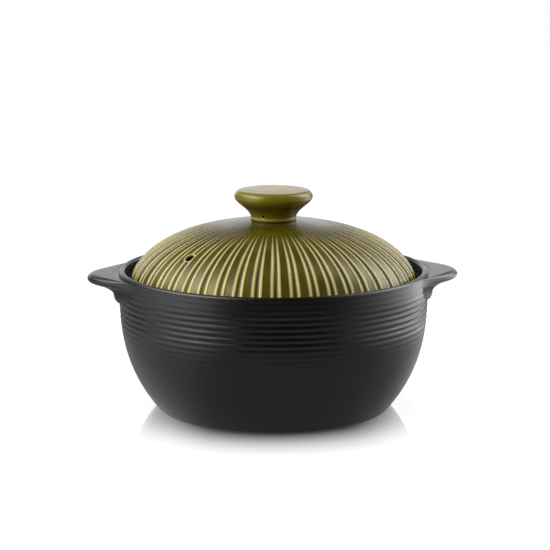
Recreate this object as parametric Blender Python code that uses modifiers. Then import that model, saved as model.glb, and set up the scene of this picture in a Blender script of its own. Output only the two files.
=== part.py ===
"""Earthenware casserole pot.

A turned stoneware bowl with ridged sides and two lug handles, and a fluted
domed lid with a hollow knob. The lid drops into a gallery inside the lip.
Metres, +Z up, standing on z = 0, with the lugs along X.
"""

from math import cos, pi, radians, sin

import bmesh
import bpy
from mathutils import Matrix, Vector

MM = 0.001

# Bowl: the wall swells from the base to the belly along a power curve.
RIM_HEIGHT = 105.5 * MM
BASE_RADIUS = 87.4 * MM
BELLY_RADIUS = 116.4 * MM
BELLY_DROP = 11.0 * MM
WALL_SWELL = 2.8
WALL_THICKNESS = 7.5 * MM
FLOOR_THICKNESS = 8.5 * MM
BASE_ROUNDING = 1.5 * MM
FOOT_WIDTH = 9.0 * MM
FOOT_RECESS = 1.2 * MM

# Lip, and the gallery inside it that carries the lid.
LIP_WIDTH = 4.6 * MM
LIP_CROWN = 2.2 * MM
GALLERY_DEPTH = 8.5 * MM
GALLERY_WIDTH = 7.8 * MM
GALLERY_LIP = 3.0 * MM
GALLERY_COVE = 9.0 * MM

# Turned rings on the upper half of the wall.
RING_COUNT = 12
RING_PITCH = 4.22 * MM
RING_DEPTH = 0.5 * MM
FIRST_RING_DROP = 7.9 * MM

# Lugs: a wing near the rim over a rounded root that runs down the wall.
LUG_REACH = 23.5 * MM
LUG_END_REACH = 0.8 * MM
LUG_SPREAD = radians(29.5)
LUG_TAPER = 1.34
LUG_DROP = 2.2 * MM
LUG_THICKNESS = 7.3 * MM
LUG_END_THICKNESS = 6.0 * MM
LUG_TIP_ROUNDING = 5.2 * MM
LUG_TIP_SHARE = 0.35
LUG_WEB_FALL = 4.3 * MM
LUG_ROOT_DEPTH = 10.5 * MM
LUG_ROOT_PROUD = 4.2 * MM
LUG_END_PROUD = 0.25 * MM
LUG_ROOT_SHARE = 0.25
LUG_KNUCKLE_SHARE = 0.43

# Lid: a low crown with a rounded shoulder, fluted from near the knob out.
LID_PLAY = 4.9 * MM
LID_CROWN_RISE = 14.6 * MM
LID_CROWN_SPREAD = 1.27
LID_SHOULDER_RISE = 31.6 * MM
LID_SHOULDER_SPREAD = 3.9
LID_SHOULDER_ROUNDING = 1.66
LID_THICKNESS = 6.0 * MM
LID_EDGE_ROUNDING = 0.8 * MM
SKIRT_DEPTH = 6.0 * MM
SKIRT_WIDTH = 4.5 * MM
SKIRT_PLAY = 1.2 * MM
FLUTE_COUNT = 48
FLUTE_WIDTH = 5.0 * MM
FLUTE_SHARE = 0.3
FLUTE_DEPTH = 1.1 * MM
FLUTE_START = 40.0 * MM
FLUTE_RUN_IN = 22.0 * MM
FLUTE_PHASE = radians(1.5)
STEAM_HOLE_DIAMETER = 6.4 * MM
STEAM_HOLE_RADIUS = 85.3 * MM

# Knob: a hollow casting on the crown of the lid.
KNOB_FOOT_RADIUS = 17.9 * MM
KNOB_RADIUS = 29.4 * MM
KNOB_TOP_RADIUS = 24.6 * MM
KNOB_NECK_HEIGHT = 17.7 * MM
KNOB_NECK_FLARE = 1.25
KNOB_CAP_HEIGHT = 4.8 * MM
KNOB_CROWN = 0.4 * MM
KNOB_WALL = 4.5 * MM
VENT_DIAMETER = 2.2 * MM
VENT_HEIGHT = 4.2 * MM
VENT_TURN = radians(18.6)

# How the lid is turned in the pot: the steam hole lies this way from +X.
LID_TURN = radians(-139.7)

# Space left between two pieces that touch, so that their solids stay apart.
JOINT_GAP = 0.3 * MM

# How finely curves are cut into facets.
BOWL_STEPS = 60
KNOB_STEPS = 48
WALL_POINTS = 8
LID_ROWS = 12
CURVE_POINTS = 5
LUG_SECTIONS = 17
HOLE_STEPS = 20
FLUTE_POINTS = 3
SLOPE_STEP = 0.5 * MM
MERGE_DISTANCE = 0.01 * MM
SHARP_ANGLE = radians(35.0)

STONEWARE_COLOR = (0.020, 0.020, 0.019, 1.0)
STONEWARE_ROUGHNESS = 0.55
GLAZE_COLOR = (0.145, 0.125, 0.012, 1.0)
GLAZE_ROUGHNESS = 0.18

BELLY_HEIGHT = RIM_HEIGHT - BELLY_DROP
LIP_INNER_RADIUS = BELLY_RADIUS - LIP_WIDTH
GALLERY_HEIGHT = RIM_HEIGHT - GALLERY_DEPTH
MOUTH_RADIUS = LIP_INNER_RADIUS - GALLERY_WIDTH
LID_RADIUS = LIP_INNER_RADIUS - LID_PLAY
LID_SEAT_HEIGHT = GALLERY_HEIGHT + JOINT_GAP
SKIRT_RADIUS = MOUTH_RADIUS - SKIRT_PLAY
SKIRT_INNER_RADIUS = SKIRT_RADIUS - SKIRT_WIDTH
SKIRT_FOOT_HEIGHT = LID_SEAT_HEIGHT - SKIRT_DEPTH
FLUTE_PITCH = 2 * pi / FLUTE_COUNT


def blend(start, end, share):
    """Value that lies the given share of the way from start to end."""
    return start + (end - start) * share


def swell(radius, foot_radius, share):
    """Radius of the bowl at a share of the way down from its belly."""
    return radius - (radius - foot_radius) * share**WALL_SWELL


def skin_radius(height):
    """Outer radius of the bowl, over the ring crests, at a height."""
    below = max(0.0, BELLY_HEIGHT - height) / BELLY_HEIGHT
    return swell(BELLY_RADIUS, BASE_RADIUS, below)


def inner_radius(height):
    """Inner radius of the bowl below the gallery."""
    below = max(0.0, BELLY_HEIGHT - height) / (BELLY_HEIGHT - FLOOR_THICKNESS)
    return swell(BELLY_RADIUS - WALL_THICKNESS, BASE_RADIUS - WALL_THICKNESS, below)


def arc(center, width, height, start, end, count):
    """Points along an ellipse in the (radius, height) plane, angles in degrees."""
    angles = [radians(blend(start, end, i / count)) for i in range(count + 1)]
    return [(center[0] + width * cos(a), center[1] + height * sin(a)) for a in angles]


def bend(start, corner, end, count):
    """Points between start and end on a curve that turns inside a corner."""
    points = []
    for i in range(1, count):
        share = i / count
        leg = [blend(a, b, share) for a, b in zip(start, corner)]
        other = [blend(a, b, share) for a, b in zip(corner, end)]
        points.append(tuple(blend(a, b, share) for a, b in zip(leg, other)))
    return points


def bowl_inside():
    """Section of the bowl from the middle of its floor up to its gallery."""
    gallery_foot = GALLERY_HEIGHT - GALLERY_LIP
    points = [(0.0, FLOOR_THICKNESS)]
    for i in range(WALL_POINTS + 1):
        height = blend(FLOOR_THICKNESS, gallery_foot - GALLERY_COVE, (i / WALL_POINTS) ** 2)
        points.append((inner_radius(height), height))
    points.append((MOUTH_RADIUS, gallery_foot))
    points.append((MOUTH_RADIUS, GALLERY_HEIGHT))
    points.append((LIP_INNER_RADIUS, GALLERY_HEIGHT))
    return points


def bowl_outside():
    """Section of the bowl from above its top ring down to its base."""
    belly = RIM_HEIGHT - FIRST_RING_DROP + RING_PITCH / 2
    points = [(skin_radius(belly), belly)]
    for i in range(RING_COUNT):
        groove = RIM_HEIGHT - FIRST_RING_DROP - i * RING_PITCH
        crest = groove - RING_PITCH / 2
        points.append((skin_radius(groove) - RING_DEPTH, groove))
        points.append((skin_radius(crest), crest))
    last_crest = points[-1][1]
    for i in range(1, WALL_POINTS + 1):
        height = blend(last_crest, BASE_ROUNDING, i / WALL_POINTS)
        points.append((skin_radius(height), height))
    return points


def bowl_profile():
    """Section of the bowl, from the middle of its floor round to its base."""
    middle = (LIP_INNER_RADIUS + LIP_WIDTH / 2, RIM_HEIGHT - LIP_CROWN)
    lip = arc(middle, LIP_WIDTH / 2, LIP_CROWN, 180.0, 0.0, CURVE_POINTS + 1)
    foot_radius = BASE_RADIUS - FOOT_WIDTH
    base = [
        (BASE_RADIUS - BASE_ROUNDING / 2, 0.0),
        (foot_radius, 0.0),
        (foot_radius - FOOT_RECESS, FOOT_RECESS),
        (0.0, FOOT_RECESS),
    ]
    return bowl_inside() + lip + bowl_outside() + base


def knob_outside(foot_height):
    """Section of the knob, from the middle of its top down to its foot."""
    widest = foot_height + KNOB_NECK_HEIGHT
    overhang = KNOB_RADIUS - KNOB_TOP_RADIUS
    edge = arc((KNOB_TOP_RADIUS, widest), overhang, KNOB_CAP_HEIGHT, 90.0, 0.0, CURVE_POINTS)
    points = [(0.0, widest + KNOB_CAP_HEIGHT + KNOB_CROWN)] + edge
    for i in range(1, WALL_POINTS + 1):
        share = i / WALL_POINTS
        flare = (1.0 - cos(pi * (1.0 - share) ** KNOB_NECK_FLARE)) / 2
        radius = blend(KNOB_FOOT_RADIUS, KNOB_RADIUS, flare)
        points.append((radius, blend(widest, foot_height, share)))
    return points


def knob_profile(foot_height):
    """Section of the hollow knob, open at its foot where it meets the lid."""
    widest = foot_height + KNOB_NECK_HEIGHT
    ceiling = widest + KNOB_CAP_HEIGHT - KNOB_WALL
    bore = KNOB_FOOT_RADIUS - KNOB_WALL
    hollow = [
        (bore, foot_height),
        (bore, foot_height + 2 * VENT_HEIGHT),
        (KNOB_RADIUS - 2 * KNOB_WALL, widest - KNOB_WALL / 2),
        (KNOB_TOP_RADIUS - KNOB_WALL, ceiling),
        (0.0, ceiling),
    ]
    return knob_outside(foot_height) + hollow


def dome_height(radius, rim_radius, wall):
    """Height of a dome of the lid's form over its seat, less a wall at the top."""
    share = min(1.0, radius / rim_radius)
    shoulder = (1.0 - share**LID_SHOULDER_SPREAD) ** (1.0 / LID_SHOULDER_ROUNDING)
    crown = 1.0 - share**LID_CROWN_SPREAD
    rise = LID_CROWN_RISE * crown + LID_SHOULDER_RISE * shoulder
    return LID_SEAT_HEIGHT + rise * (1.0 - wall / (LID_CROWN_RISE + LID_SHOULDER_RISE))


def lid_top(radius):
    """Height of the lid's upper face between its flutes."""
    return dome_height(radius, LID_RADIUS, 0.0)


def lid_fall(radius):
    """How far the lid's upper face falls over one slope step."""
    return lid_top(radius - SLOPE_STEP) - lid_top(radius)


def lid_underside(radius):
    """Height of the lid's hollow."""
    return dome_height(radius, SKIRT_INNER_RADIUS, LID_THICKNESS)


def flute_cut(radius):
    """Depth of a flute at a radius: it runs in gently from its inner end."""
    return FLUTE_DEPTH * min(1.0, max(0.0, (radius - FLUTE_START) / FLUTE_RUN_IN))


def plain_ring(mesh, radius, height):
    """Closed ring about the Z axis with one vertex a flute."""
    ring = []
    for i in range(FLUTE_COUNT):
        angle = FLUTE_PHASE + i * FLUTE_PITCH
        ring.append(mesh.verts.new((radius * cos(angle), radius * sin(angle), height)))
    return ring


def fluted_ring(mesh, radius, height, lean):
    """Ring with one sunk vertex a flute and one at each of its shoulders."""
    half_width = min(FLUTE_WIDTH / 2 / radius, FLUTE_SHARE * FLUTE_PITCH)
    sunk = flute_cut(radius)
    ring = []
    for i in range(FLUTE_COUNT):
        middle = FLUTE_PHASE + i * FLUTE_PITCH
        for turned, cut in ((0.0, sunk), (half_width, 0.0), (FLUTE_PITCH - half_width, 0.0)):
            r = radius - cut * sin(lean)
            z = height - cut * cos(lean)
            angle = middle + turned
            ring.append(mesh.verts.new((r * cos(angle), r * sin(angle), z)))
    return ring


def join_rings(mesh, first, second):
    """Faces between two rings, of which one may be fluted and the other plain."""
    if len(first) == len(second):
        for i in range(len(first)):
            j = (i + 1) % len(first)
            mesh.faces.new((first[i], first[j], second[j], second[i]))
        return
    fluted, plain = (first, second) if len(first) > len(second) else (second, first)
    for i in range(len(plain)):
        near, far = plain[i], plain[(i + 1) % len(plain)]
        start = FLUTE_POINTS * i
        a, b, c, d = [fluted[(start + k) % len(fluted)] for k in range(FLUTE_POINTS + 1)]
        mesh.faces.new((near, b, a))
        mesh.faces.new((near, c, b))
        mesh.faces.new((near, far, c))
        mesh.faces.new((far, d, c))


def close_ring(mesh, ring, height):
    """Fan of faces from a ring to a point on the axis."""
    pole = mesh.verts.new((0.0, 0.0, height))
    for i in range(len(ring)):
        mesh.faces.new((ring[i], ring[(i + 1) % len(ring)], pole))


def lid_top_rings(mesh):
    """Rings over the crown and the fluted shoulder, down to the lid's edge."""
    crown = KNOB_FOOT_RADIUS + JOINT_GAP
    between = (crown + FLUTE_START) / 2
    rings = [plain_ring(mesh, radius, lid_top(radius)) for radius in (crown, between)]
    for i in range(LID_ROWS):
        radius = blend(FLUTE_START, LID_RADIUS, sin(pi / 2 * i / LID_ROWS))
        lean = Vector((SLOPE_STEP, lid_fall(radius))).angle(Vector((1.0, 0.0)))
        rings.append(fluted_ring(mesh, radius, lid_top(radius), lean))
    rings.append(fluted_ring(mesh, LID_RADIUS, LID_SEAT_HEIGHT + LID_EDGE_ROUNDING, pi / 2))
    rings.append(fluted_ring(mesh, LID_RADIUS - LID_EDGE_ROUNDING, LID_SEAT_HEIGHT, pi / 2))
    return rings


def lid_skirt_rings(mesh):
    """Rings from the seat down round the foot of the skirt."""
    rounded = SKIRT_FOOT_HEIGHT + LID_EDGE_ROUNDING
    return [
        plain_ring(mesh, SKIRT_RADIUS, LID_SEAT_HEIGHT),
        plain_ring(mesh, SKIRT_RADIUS, rounded),
        plain_ring(mesh, SKIRT_RADIUS - LID_EDGE_ROUNDING, SKIRT_FOOT_HEIGHT),
        plain_ring(mesh, SKIRT_INNER_RADIUS + LID_EDGE_ROUNDING, SKIRT_FOOT_HEIGHT),
        plain_ring(mesh, SKIRT_INNER_RADIUS, rounded),
    ]


def lid_mesh():
    """The lid: its fluted top, edge, skirt and smooth hollow."""
    mesh = bmesh.new()
    rings = lid_top_rings(mesh) + lid_skirt_rings(mesh)
    for i in range(WALL_POINTS):
        radius = SKIRT_INNER_RADIUS * cos(pi / 2 * i / WALL_POINTS)
        rings.append(plain_ring(mesh, radius, lid_underside(radius)))
    close_ring(mesh, rings[0], lid_top(KNOB_FOOT_RADIUS + JOINT_GAP))
    close_ring(mesh, rings[-1], lid_underside(0.0))
    for first, second in zip(rings, rings[1:]):
        join_rings(mesh, first, second)
    return finished(mesh, "lid")


def lug_section(angle):
    """Outline of the lug in the (radius, height) plane at an angle from its middle."""
    bell = (1.0 + cos(pi * angle / LUG_SPREAD)) / 2
    fade = cos(pi / 2 * angle / LUG_SPREAD)
    reach = blend(LUG_END_REACH, LUG_REACH, bell**LUG_TAPER)
    thickness = blend(LUG_THICKNESS, LUG_END_THICKNESS, abs(angle) / LUG_SPREAD)
    top = RIM_HEIGHT - LUG_DROP
    bottom = top - thickness
    web = bottom - LUG_WEB_FALL * fade
    root = bottom - LUG_WEB_FALL - LUG_ROOT_DEPTH * fade
    knuckle = blend(web, root, LUG_KNUCKLE_SHARE)
    proud = min(blend(LUG_END_PROUD, LUG_ROOT_PROUD, fade**2), LUG_ROOT_SHARE * reach)
    rounding = min(LUG_TIP_ROUNDING, LUG_TIP_SHARE * reach)
    middle = (top + bottom) / 2
    tip = (skin_radius(middle) + JOINT_GAP + reach - rounding, middle)

    points = []
    for i in range(CURVE_POINTS + 1):
        height = blend(root, top, i / CURVE_POINTS)
        points.append((skin_radius(height) + JOINT_GAP, height))
    foot = points[0]
    points += arc(tip, rounding, thickness / 2, 90.0, -90.0, CURVE_POINTS + 1)
    edge = skin_radius(knuckle) + JOINT_GAP + proud
    points += bend(points[-1], (edge, web), (edge, knuckle), CURVE_POINTS)
    points.append((edge, knuckle))
    points += bend(points[-1], (foot[0] + proud, root), foot, CURVE_POINTS - 1)
    return points


def lug_mesh():
    """The lug: radial sections lofted along the rim and capped at both ends."""
    mesh = bmesh.new()
    rows = []
    for i in range(LUG_SECTIONS):
        angle = blend(-LUG_SPREAD, LUG_SPREAD, i / (LUG_SECTIONS - 1))
        row = [(r * cos(angle), r * sin(angle), z) for r, z in lug_section(angle)]
        rows.append([mesh.verts.new(point) for point in row])
    for first, second in zip(rows, rows[1:]):
        join_rings(mesh, first, second)
    mesh.faces.new(rows[0])
    mesh.faces.new(rows[-1])
    return finished(mesh, "lug")


def finished(mesh, name):
    """Mesh data with its faces turned outward."""
    bmesh.ops.recalc_face_normals(mesh, faces=mesh.faces)
    data = bpy.data.meshes.new(name)
    mesh.to_mesh(data)
    mesh.free()
    return data


def new_collection(name):
    """Collection linked to the scene."""
    collection = bpy.data.collections.new(name)
    bpy.context.scene.collection.children.link(collection)
    return collection


def new_material(name, color, roughness):
    """Principled material of one fired surface."""
    material = bpy.data.materials.new(name)
    material.use_nodes = True
    surface = material.node_tree.nodes["Principled BSDF"]
    surface.inputs["Base Color"].default_value = color
    surface.inputs["Roughness"].default_value = roughness
    surface.inputs["Metallic"].default_value = 0.0
    return material


def new_object(name, data, collection, material):
    """Object with smooth sides and sharp corners."""
    part = bpy.data.objects.new(name, data)
    collection.objects.link(part)
    data.materials.append(material)
    data.shade_smooth()
    data.set_sharp_from_angle(angle=SHARP_ANGLE)
    return part


def profile_mesh(name, points):
    """Open outline in the XZ plane, ready to be turned about Z."""
    data = bpy.data.meshes.new(name)
    edges = [(i, i + 1) for i in range(len(points) - 1)]
    data.from_pydata([(r, 0.0, z) for r, z in points], edges, [])
    return data


def turn(part, steps):
    """Turn an outline about Z into a solid."""
    screw = part.modifiers.new("Turn", "SCREW")
    screw.steps = steps
    screw.render_steps = steps
    screw.use_merge_vertices = True
    screw.merge_threshold = MERGE_DISTANCE
    screw.use_smooth_shade = True


def drill(part, name, diameter, center, direction, length, cutters):
    """Cut a round hole through a part, about a point and along a direction."""
    mesh = bmesh.new()
    bmesh.ops.create_cone(
        mesh,
        cap_ends=True,
        segments=HOLE_STEPS,
        radius1=diameter / 2,
        radius2=diameter / 2,
        depth=length,
    )
    cutter = bpy.data.objects.new(name, finished(mesh, name))
    cutters.objects.link(cutter)
    turned = Vector(direction).to_track_quat("Z", "Y").to_matrix().to_4x4()
    cutter.parent = part.parent
    cutter.matrix_local = Matrix.Translation(center) @ turned
    cutter.hide_render = True
    cutter.display_type = "WIRE"
    cut = part.modifiers.new(name, "BOOLEAN")
    cut.operation = "DIFFERENCE"
    cut.object = cutter


def build_bowl(collection, material):
    """The bowl, turned in one piece."""
    outline = profile_mesh("pot_body", bowl_profile())
    bowl = new_object("pot_body", outline, collection, material)
    turn(bowl, BOWL_STEPS)


def build_lugs(collection, material):
    """Two equal lugs luted on opposite sides of the wall."""
    right = new_object("right_handle", lug_mesh(), collection, material)
    left = bpy.data.objects.new("left_handle", right.data)
    collection.objects.link(left)
    left.rotation_euler.z = pi


def build_lid(collection, cutters, axis, material):
    """The fluted lid with its steam hole, square to the shoulder."""
    lid = new_object("lid", lid_mesh(), collection, material)
    lid.parent = axis
    center = (STEAM_HOLE_RADIUS, 0.0, lid_top(STEAM_HOLE_RADIUS))
    outward = (lid_fall(STEAM_HOLE_RADIUS), 0.0, SLOPE_STEP)
    length = 4 * LID_THICKNESS
    drill(lid, "steam_hole", STEAM_HOLE_DIAMETER, center, outward, length, cutters)


def build_knob(collection, cutters, axis, material):
    """The hollow knob on the crown, with the vent that lets its air out."""
    foot = lid_top(KNOB_FOOT_RADIUS + JOINT_GAP) + JOINT_GAP
    outline = profile_mesh("lid_knob", knob_profile(foot))
    knob = new_object("lid_knob", outline, collection, material)
    knob.parent = axis
    turn(knob, KNOB_STEPS)
    outward = Vector((cos(VENT_TURN), sin(VENT_TURN), 0.0))
    center = outward * KNOB_FOOT_RADIUS + Vector((0.0, 0.0, foot + VENT_HEIGHT))
    drill(knob, "knob_vent", VENT_DIAMETER, center, outward, 3 * KNOB_WALL, cutters)


def clear_scene():
    """Remove what a new file holds."""
    for item in list(bpy.data.objects):
        bpy.data.objects.remove(item, do_unlink=True)


def main():
    """Build the pot and its lid."""
    clear_scene()
    pieces = new_collection("earthenware_pot")
    cutters = new_collection("cutters")
    stoneware = new_material("charcoal_stoneware", STONEWARE_COLOR, STONEWARE_ROUGHNESS)
    glaze = new_material("olive_glaze", GLAZE_COLOR, GLAZE_ROUGHNESS)
    build_bowl(pieces, stoneware)
    build_lugs(pieces, stoneware)
    lid_axis = bpy.data.objects.new("lid_axis", None)
    pieces.objects.link(lid_axis)
    lid_axis.rotation_euler.z = LID_TURN
    build_lid(pieces, cutters, lid_axis, glaze)
    build_knob(pieces, cutters, lid_axis, glaze)


main()
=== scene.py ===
"""Earthenware casserole pot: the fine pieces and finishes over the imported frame.

A matt charcoal stoneware bowl with turned rings and two lugs, and a fluted
olive glazed lid with a hollow knob. Metres, +Z up, in the frame's own axes.
"""

from math import cos, pi, radians, sin

import bmesh
import bpy
from bpy.props import FloatProperty, FloatVectorProperty, IntProperty, PointerProperty
from mathutils import Matrix, Vector


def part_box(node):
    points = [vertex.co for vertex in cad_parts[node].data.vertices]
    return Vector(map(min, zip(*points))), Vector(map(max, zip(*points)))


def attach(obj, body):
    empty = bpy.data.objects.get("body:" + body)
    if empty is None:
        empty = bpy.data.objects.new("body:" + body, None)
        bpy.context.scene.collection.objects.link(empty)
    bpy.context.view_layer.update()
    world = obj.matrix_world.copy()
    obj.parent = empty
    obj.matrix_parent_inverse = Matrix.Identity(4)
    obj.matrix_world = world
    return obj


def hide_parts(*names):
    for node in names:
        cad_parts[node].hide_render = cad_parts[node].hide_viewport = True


bl_info = {
    "name": "Casserole Pot",
    "version": (1, 0, 0),
    "blender": (4, 5, 0),
    "location": "View3D > Sidebar > Pot",
    "description": "Builds a lidded stoneware casserole over its packed frame",
    "category": "Add Mesh",
}

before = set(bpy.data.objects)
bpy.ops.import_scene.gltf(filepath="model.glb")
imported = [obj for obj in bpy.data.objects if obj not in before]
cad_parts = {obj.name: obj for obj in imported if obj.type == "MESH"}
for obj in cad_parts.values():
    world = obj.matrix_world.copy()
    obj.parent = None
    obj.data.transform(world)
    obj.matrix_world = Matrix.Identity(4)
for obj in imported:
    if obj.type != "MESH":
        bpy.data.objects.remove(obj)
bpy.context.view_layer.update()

MM = 0.001
BOWL_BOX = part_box("pot_body")
KNOB_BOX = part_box("lid_knob")
NODE_COLUMN = 190.0
SHARP_ANGLE = radians(50.0)

# Steps round the turned pieces, and rows, sections and points along all of them.
BOWL_TURNS = 192
KNOB_TURNS = 128
TURNS_PER_FLUTE = 16
HOLE_TURNS = 32
CORNER_STEPS = 5
FLOOR_CURVE_STEPS = 8
LINER_ROWS = 24
LIP_STEPS = 14
RINGED_ROWS = 150
LOWER_ROWS = 36
LID_ROWS = 74
HOLLOW_ROWS = 24
CAP_STEPS = 18
NECK_ROWS = 48
LUG_SECTIONS = 65
LUG_WALL_STEPS = 8
LUG_TOP_STEPS = 6
LUG_TIP_STEPS = 16
LUG_WEB_STEPS = 14
LUG_ROOT_STEPS = 9

# Small roundings, insets and shares of the shapes.
FLOOR_ROW_SHARE = 0.4
GALLERY_FOOT_ROUNDING = 2.0 * MM
SEAT_EDGE_ROUNDING = 0.9 * MM
SEAT_CORNER_ROUNDING = 1.2 * MM
LIP_STRIP = 0.5 * MM
BASE_INSET = 0.3
BASE_EDGE_ROUNDING = 0.9 * MM
FOOT_ROUNDING = 0.6 * MM
BARE_FOOT_HEIGHT = 1.1 * MM
LUG_ROOT_SHARE = 0.25
LUG_TIP_SHARE = 0.35
LUG_LEAST_ROUNDING = 0.4 * MM
LUG_CREST_GAP = 0.1 * MM
LUG_SEAM_INSET = 0.8 * MM
LUG_SEAM_SHARE = 0.5
LID_EDGE_SHARE = 0.9985
SKIRT_ROUNDING = 0.5 * MM
FLUTE_FOOT_HEIGHT = 3.0 * MM

# Mouth of a bored hole: its flare and where it starts as shares of the radius, and its
# rise, its depth and the cutter's spread as shares of the flare.
MOUTH_FLARE = 0.35
MOUTH_START = 1.05
MOUTH_RISE = 0.5
MOUTH_DEPTH = 2.0
MOUTH_SPREAD = 1.2

# Knob: the slack that tells its skin from its hollow, shares of the top's radius and of its
# crown along the top, and how the collar's edges ease.
KNOB_SLACK = 0.1 * MM
KNOB_TOP_CURVE = ((0.0, 1.0), (0.5, 0.85), (0.8, 0.5))
COLLAR_TOP_EASE = 3.0
COLLAR_FOOT_EASE = 6.0
COLLAR_FOOT_SHARE = 0.2

# Strength of the masks: thin glaze, pooled glaze with painted shade as (height, reach, most), and
# painted shadow.
MOUTH_THIN = 0.8
COLLAR_THIN = 0.3
COLLAR_THIN_START = 1.2 * MM
# Thin glaze on the knob's top, partly its pale sheen painted in.
KNOB_TOP_THIN_AND_SHEEN = 0.06
KNOB_FLAT_SHARE = 0.9
# Pooled glaze in the knob's neck and under its cap, partly painted shade under the overhang.
KNOB_POOLS_AND_SHADE = ((7.0 * MM, 6.0 * MM, 0.15), (11.5 * MM, 3.5 * MM, 0.45))
# Painted shadow where the knob meets the lid, on the knob and on the lid round its foot.
KNOB_SEAM_SHADOW = 0.6
KNOB_SEAM_HEIGHT = 0.7 * MM
LID_SEAM_SHADOW = 0.7
LID_SEAM_WIDTH = 2.0 * MM
# Painted shade under the lugs: the power by which it grows towards their ends, its most there, and the
# points over which its bell runs along the underside.
LUG_CORNER_POWER = 1.5
LUG_CORNER_SHADE = 0.95
LUG_SHADE_POINTS = 16

# Rings and flutes. A span is where easing starts and ends, then the two values it eases
# between where they aren't 0 and 1. Lengths are in metres.
RING_SEED = 7
RING_STRAY_SCALE = (9.0, 9.0, 160.0)
RING_TOP_SPAN = (0.4, 3.4, 0.15, 1.0)
RING_CHANCE_SPAN = (0.0, 1.0, 0.85, 1.1)
RING_PATCH_SEED = 11.0
RING_PATCH_SCALE = (14.0, 14.0, 60.0)
RING_PATCH_SPAN = (0.35, 0.65, 0.7, 1.1)
RING_FADE_LENGTH = 0.16
RING_FADE_LEFT = 0.22
FLUTE_SEED = 3
FLUTE_STRAY_SCALE = 26.0
FLUTE_STRAY = 0.05
RIDGE_SHARE = 0.55
RIDGE_THIN_SPAN = (0.0, 0.055)
GROOVE_POOL_SPAN = (0.0, 0.03)
# Pooled glaze round the knob's foot, which also paints the shade that the knob casts on the crown.
CROWN_POOL_AND_SHADE_SPAN = (0.012, -0.012, 0.0, 0.75)

# Fired surfaces: shades are factors on a colour, shares are how much of it shows, and what
# a mask does to the roughness is added to it.
GRAIN_SEED = 3.0
GRAIN_IN_BUMP = 0.6
BUMP_HEIGHT = 0.4 * MM
STONEWARE_SHADES = (0.7, 1.35)
STONEWARE_SPECK_SPAN = (0.62, 0.72)
STONEWARE_SPECK_SHARE = 0.25
STONEWARE_SPECK_SHADE = 2.6
# Painted shade in the ring grooves (at a share) and where the hollow mask is goes towards this shade.
STONEWARE_SHADOW_SHADE = 0.3
STONEWARE_ROUGHNESS_SPAN = (0.2, 0.8, 0.22, 0.3)
RING_SHADOW = 0.6
HOLLOW_ROUGHNESS = 0.5
LINER_ROUGHNESS = -0.1
GLAZE_SHADES = (0.8, 1.2)
GLAZE_MOTTLE_SPAN = (0.3, 0.7)
# Painted light: the knob's glaze is lightened to this shade of the olive.
KNOB_PAINTED_LIGHT_SHADE = 2.5
GLAZE_SPECK_SPAN = (0.62, 0.75)
GLAZE_SPECK_SHARE = 0.3
# Painted shadow where the hollow mask is on the glaze goes towards this shade of the pooled glaze.
GLAZE_SHADOW_SHADE = 0.2
GLAZE_ROUGHNESS_SPAN = (0.2, 0.8, 0.2, 0.28)
GLAZE_SHINE = (1.0, 0.92, 0.7, 1.0)
GROOVE_ROUGHNESS = 0.3
BARE_ROUGHNESS = 0.5
WEAR_MOTTLE = 0.8
WEAR_LEAST = 0.6
THIN_SPAN = (0.0, 0.75)

# Studio that gloss mirrors. Its left begins within a span from right (1) to left (-1). An
# area is its strength, then its spans from front (-1) to back (1), and a foot or a top is
# its span over the height, from 0 level to 1 overhead.
LEFT_SPAN = (0.25, -0.25)
DARKEST = 0.02
LEFT_WALL = (1.75, (-0.88, -0.5), (-0.4, 0.6, 1.0, 0.1))
RIGHT_WALL = (3.3, (-0.95, 0.75), (0.45, 0.85, 1.0, 0.05))
WALL_TOP = (0.45, 0.95, 1.0, 0.02)
LEFT_BOX = (5.5, (-0.8, -0.5), (0.1, 1.0, 1.0, 0.0))
LEFT_BOX_FOOT = (0.3, 0.6)
RIGHT_BOX = (3.3, (-0.15, 0.25), (0.42, 1.0, 1.0, 0.0))
RIGHT_BOX_FOOT = (0.15, 0.5)
BOX_TOP = (0.75, 0.97, 1.0, 0.15)
BACK_GLOW = (0.95, (0.8, 0.97))
BACK_GLOW_TOP = (0.2, 0.42, 1.0, 0.0)
WHITE_STRIP = (1.0, (0.955, 0.985))
WHITE_STRIP_HEIGHT = ((0.29, 0.37, 1.0, 0.0), (0.17, 0.22))

# Even fill, brightest from high behind, as factors on its strength.
FILL_WAY = (0.0, 0.8, 0.6)
FILL_SPAN = (-0.6, 0.9)
FILL_FRONT = 0.5
FILL_BACK = 1.9

# Floor: how it looks by the distance from the pot's axis, and its mirror at the foot.
FLOOR_HALF = 4.0
FLOOR_FAR_SPAN = (0.15, 0.5)
FLOOR_PALE = (0.3, 0.1)
FLOOR_SEEN_SPAN = (0.09, 0.125, 0.85, 1.0)
FLOOR_CLOSE_TONE = 0.16
FLOOR_LEAST_TONE = 0.12
FLOOR_TONE_POWER = 2.0
FLOOR_ROUGHNESS = 0.04
FLOOR_MIRROR_REACH = 0.1
FLOOR_MIRROR_POWER = 2.2
FLOOR_SIDE_START = 0.045
FLOOR_SIDE_SHARE = 0.75

# Lamps: sizes and places in metres.
LAMP_AIM = (0.0, 0.0, 0.08)
LEFT_LAMP_SIZE = (1.2, 0.8)
LEFT_LAMP_PLACE = (-1.05, -0.5, 0.75)
RIGHT_LAMP_SIZE = (1.6, 1.0)
RIGHT_LAMP_PLACE = (1.05, 0.5, 0.66)


# Properties


def setting(kind, **rules):
    """Short way to write one kind of property."""

    def make(name, description, default):
        """Property with its name, description and default."""
        return kind(name=name, description=description, default=default, **rules)

    return make


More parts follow.
